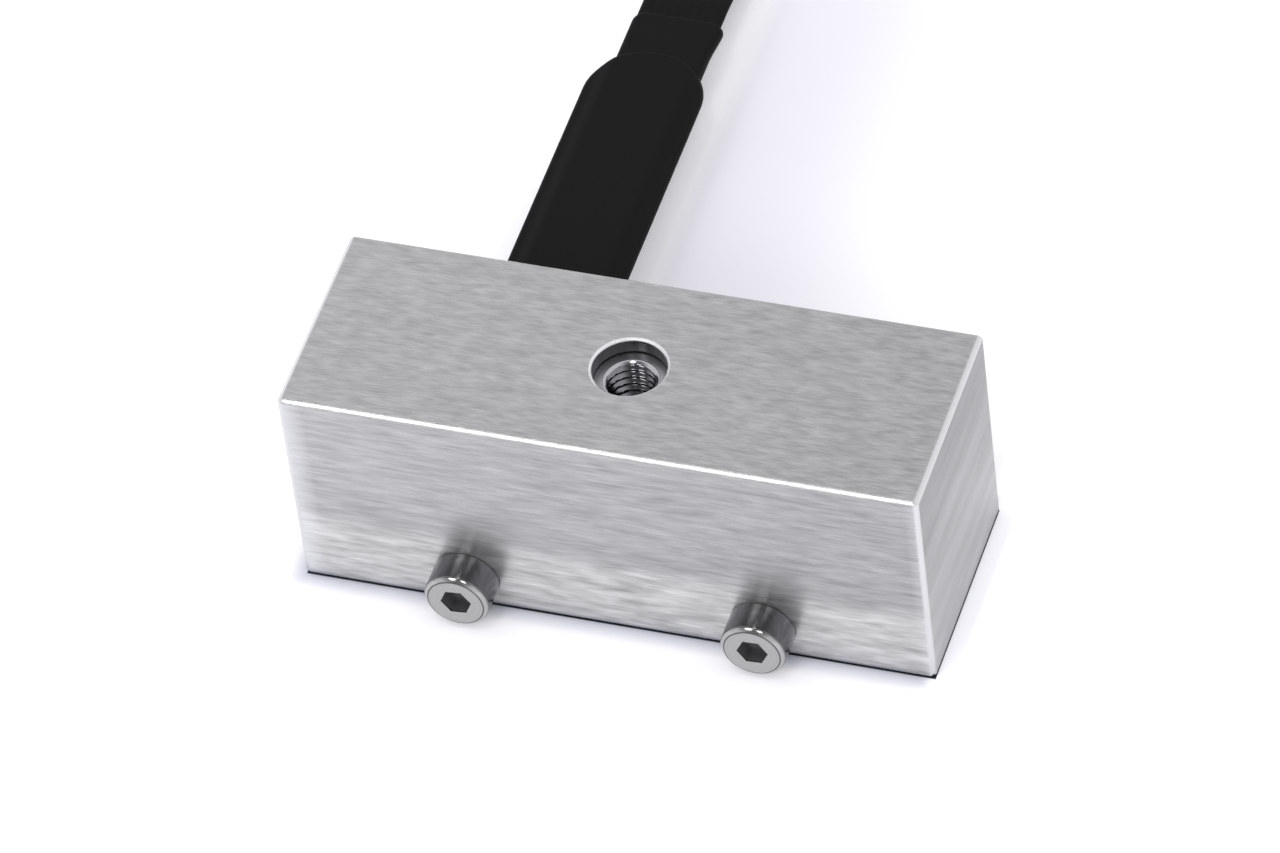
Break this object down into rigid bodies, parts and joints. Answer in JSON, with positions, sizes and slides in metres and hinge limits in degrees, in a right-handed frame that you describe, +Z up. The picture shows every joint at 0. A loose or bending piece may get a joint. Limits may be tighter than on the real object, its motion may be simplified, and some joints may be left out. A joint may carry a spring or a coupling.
{
  "type": "two-axis load cell",
  "caption": "Load cell for vertical and sideways force: brushed aluminium cover over a stainless spring element, threaded load hole on top, cap screws in front, flat lead behind.",
  "frame": {"origin": "middle of the block's underside", "axes": "+Z up, out of the load thread; +X along the block; the lead leaves the back, towards +Y"},
  "size_m": [0.07, 0.1875, 0.027],
  "materials": {
    "brushed_aluminium": "fine brushed along the block",
    "machined_aluminium": "milled",
    "stainless_steel": "milled",
    "screw_steel": "bright turned",
    "gauge_foil": "amber polyimide foil",
    "board_laminate": "satin",
    "spacer_nylon": "matt",
    "seal_rubber": "matt",
    "sleeve_polyolefin": "satin black",
    "lead_jacket": "satin black",
    "tie_nylon": "satin black",
    "plug_nylon": "satin natural",
    "contact_bronze": "tinned"
  },
  "bodies": {
    "root": {"base_block": "machined_aluminium", "beam_screw_front_left": "screw_steel", "beam_screw_front_right": "screw_steel", "beam_screw_rear_left": "screw_steel", "beam_screw_rear_right": "screw_steel", "board_screw_left": "screw_steel", "board_screw_right": "screw_steel", "board_spacer_left": "spacer_nylon", "board_spacer_right": "spacer_nylon", "cable_hank": "lead_jacket", "cable_seal": "seal_rubber", "cable_shrink": "sleeve_polyolefin", "cable_sleeve": "sleeve_polyolefin", "cable_tail": "lead_jacket", "cover": "brushed_aluminium", "cover_screw_left": "screw_steel", "cover_screw_right": "screw_steel", "flat_cable": "lead_jacket", "gauge_bottom_left": "gauge_foil", "gauge_bottom_right": "gauge_foil", "gauge_front_left": "gauge_foil", "gauge_front_right": "gauge_foil", "gauge_rear_left": "gauge_foil", "gauge_rear_right": "gauge_foil", "gauge_top_left": "gauge_foil", "gauge_top_right": "gauge_foil", "hank_tie": "tie_nylon", "plug_contacts": "contact_bronze", "plug_housing": "plug_nylon", "sensing_beam": "stainless_steel", "terminal_board": "board_laminate"}
  },
  "joints": []
}
